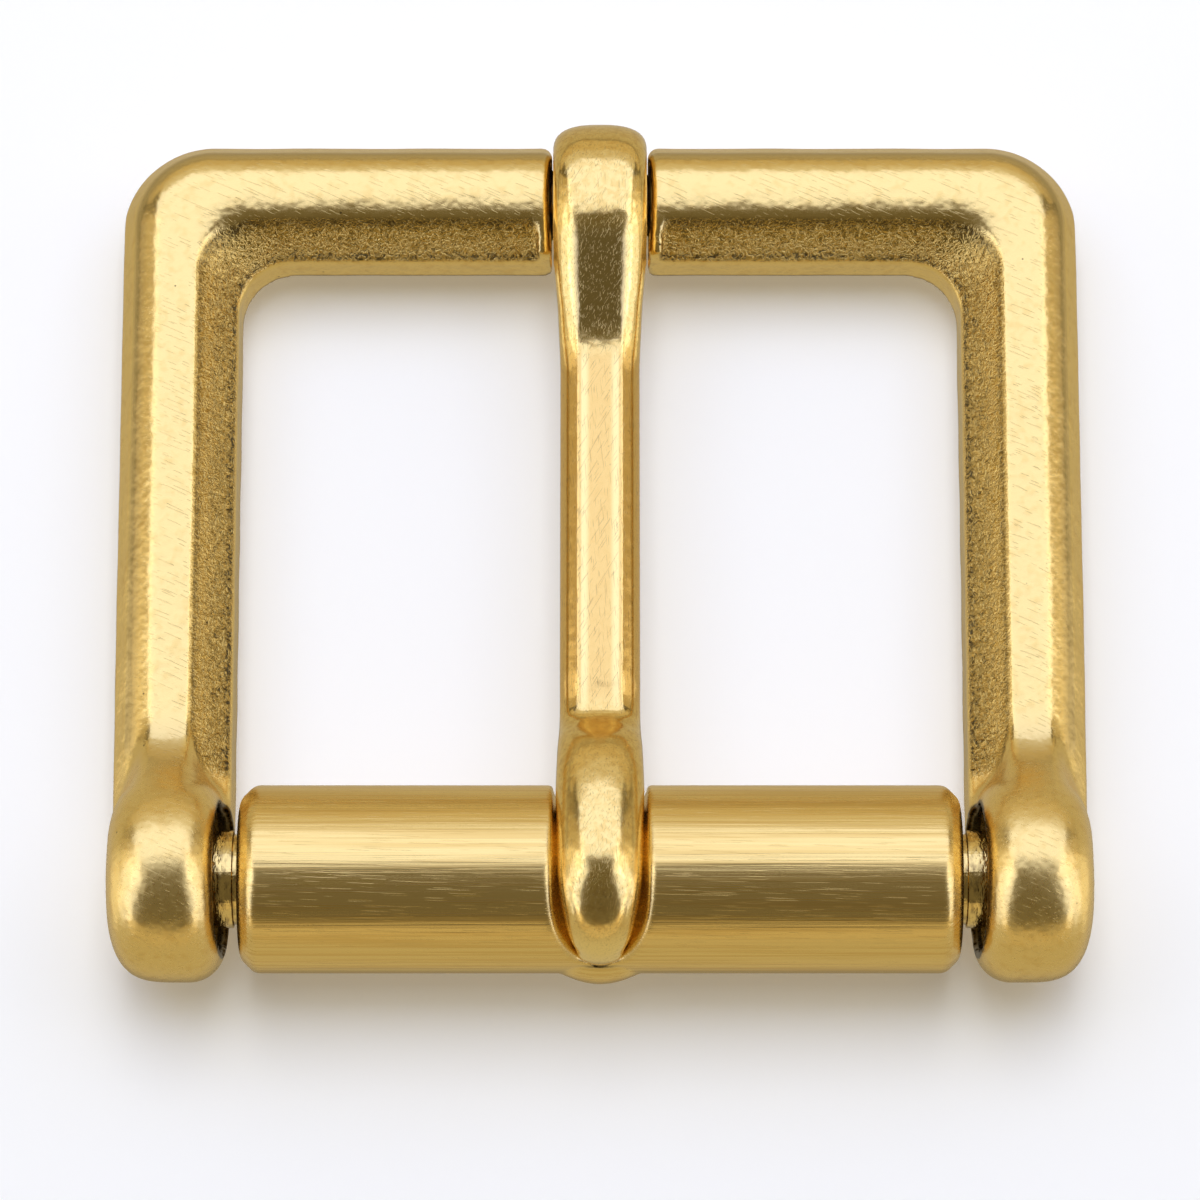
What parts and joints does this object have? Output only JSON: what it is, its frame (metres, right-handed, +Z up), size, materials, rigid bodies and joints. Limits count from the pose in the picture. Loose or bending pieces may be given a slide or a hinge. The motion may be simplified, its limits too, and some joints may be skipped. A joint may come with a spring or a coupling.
{
  "type": "roller buckle",
  "caption": "Cast brass roller buckle: a three-sided frame with lugs that hold a roller on a pin, and a curved tongue that hinges on the far bar.",
  "frame": {"origin": "middle of the buckle on the surface that it lies on, under the box of the whole buckle", "axes": "+X along the roller to the right, +Y from the roller towards the tongue bar, +Z up out of the face"},
  "size_m": [0.0544, 0.05, 0.012],
  "materials": {
    "cast_brass": "tumbled satin cast brass, rough as cast in the sloping border round the window",
    "pin_brass": "turned brass rod, slightly darkened",
    "turned_brass": "satin brass brushed along the roller",
    "polished_brass": "hand polished brass with fine scratches"
  },
  "bodies": {
    "frame": {"frame": "cast_brass", "roller_pin": "pin_brass"},
    "roller": {"roller": "turned_brass"},
    "tongue": {"tongue": "polished_brass"}
  },
  "joints": [
    {"name": "roller_spin", "type": "hinge", "parent": "frame", "child": "roller", "pos_m": [0, -0.0193, 0.0057], "axis": [1, 0, 0], "range_deg": [0, 130]},
    {"name": "tongue_hinge", "type": "hinge", "parent": "frame", "child": "tongue", "pos_m": [0, 0.0204, 0.0046], "axis": [-1, 0, 0], "range_deg": [0, 175]}
  ]
}
